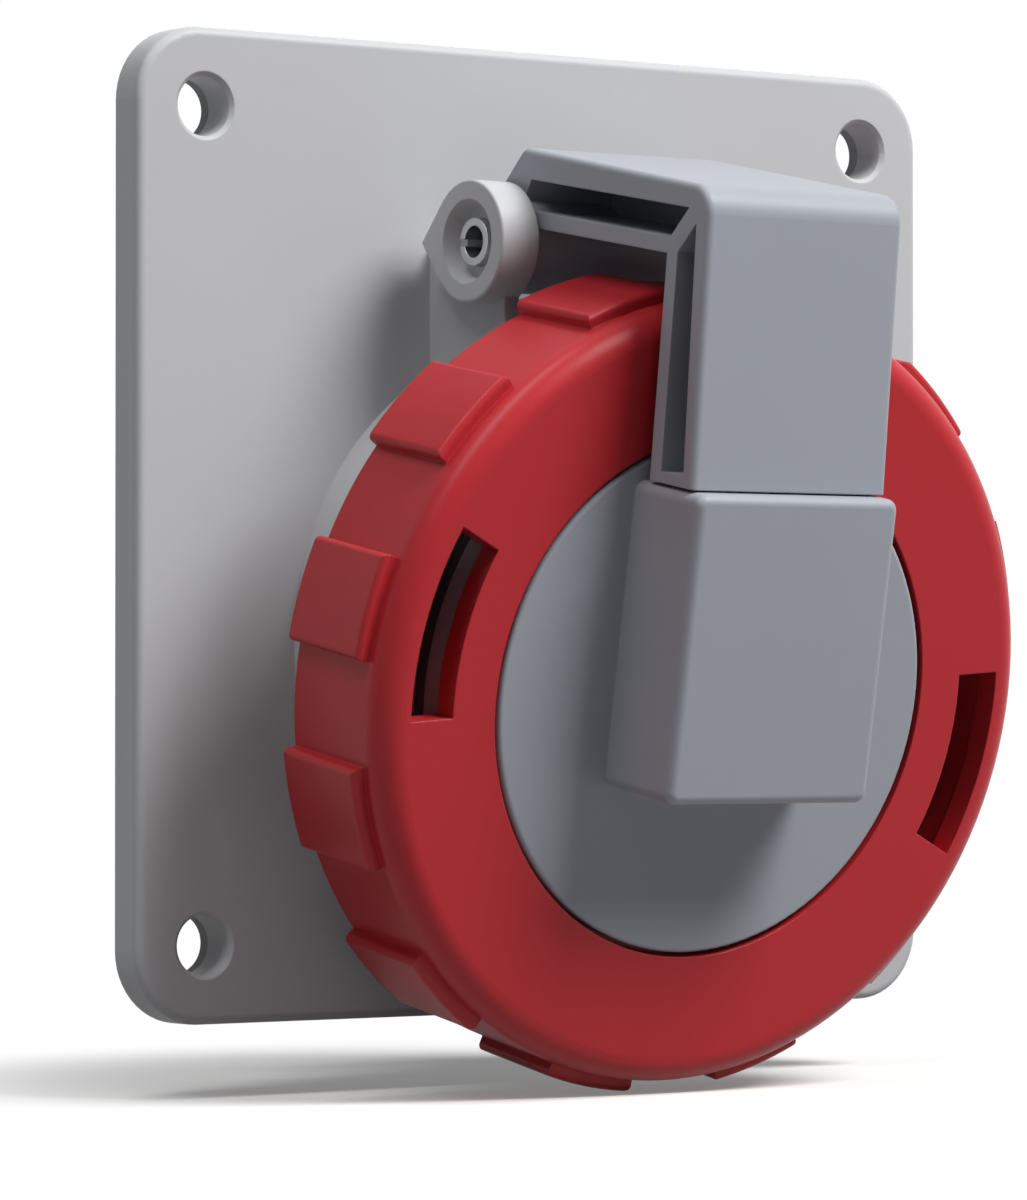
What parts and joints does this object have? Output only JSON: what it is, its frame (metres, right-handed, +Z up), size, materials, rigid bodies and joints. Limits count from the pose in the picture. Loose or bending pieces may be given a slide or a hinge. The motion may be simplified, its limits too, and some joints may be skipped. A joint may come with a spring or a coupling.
{
  "type": "industrial panel socket",
  "caption": "Inclined panel socket: square flange, hinged sealed lid on an arm, and a turning bayonet ring round a recessed pin contact insert.",
  "frame": {"origin": "centre of the four fixing holes, on the rear face that meets the panel", "axes": "+X to the right seen from the front, +Z up, and the socket faces -Y with its axis tilted ten degrees down"},
  "size_m": [0.107, 0.0834, 0.1146],
  "materials": {
    "grey_housing": "fine matt moulded grey",
    "grey_lid": "satin moulded grey, a little darker than the housing",
    "red_ring": "satin moulded red",
    "black_rubber": "matt black sealing rubber",
    "grey_rubber": "matt grey sealing rubber",
    "insert_plastic": "matt black moulded insert",
    "contact_brass": "plated brass",
    "steel": "bright zinc-plated steel"
  },
  "bodies": {
    "housing": {"flange_housing": "grey_housing", "flange_gasket": "grey_rubber", "contact_carrier": "insert_plastic", "insert_seal": "black_rubber", "terminal_carrier": "insert_plastic", "carrier_screw": "steel", "contact_earth": "contact_brass", "contact_l1": "contact_brass", "contact_l2": "contact_brass", "contact_l3": "contact_brass", "contact_neutral": "contact_brass", "contact_springs": "steel", "terminal_screws": "steel", "insert_screws": "steel", "hinge_pin": "steel"},
    "lid": {"lid_cover": "grey_lid", "lid_arm": "grey_lid", "lid_plate": "grey_lid", "lid_gasket": "black_rubber", "lid_screws": "steel", "arm_screws": "steel"},
    "ring": {"bayonet_ring": "red_ring"}
  },
  "joints": [
    {"name": "lid_hinge", "type": "hinge", "parent": "housing", "child": "lid", "pos_m": [0, -0.0173, 0.0309], "axis": [-1, 0, 0], "range_deg": [0, 100]},
    {"name": "ring_turn", "type": "hinge", "parent": "lid", "child": "ring", "pos_m": [0, -0.006, -0.0129], "axis": [0, -0.9848, -0.1736], "range_deg": [-37, 0]}
  ]
}
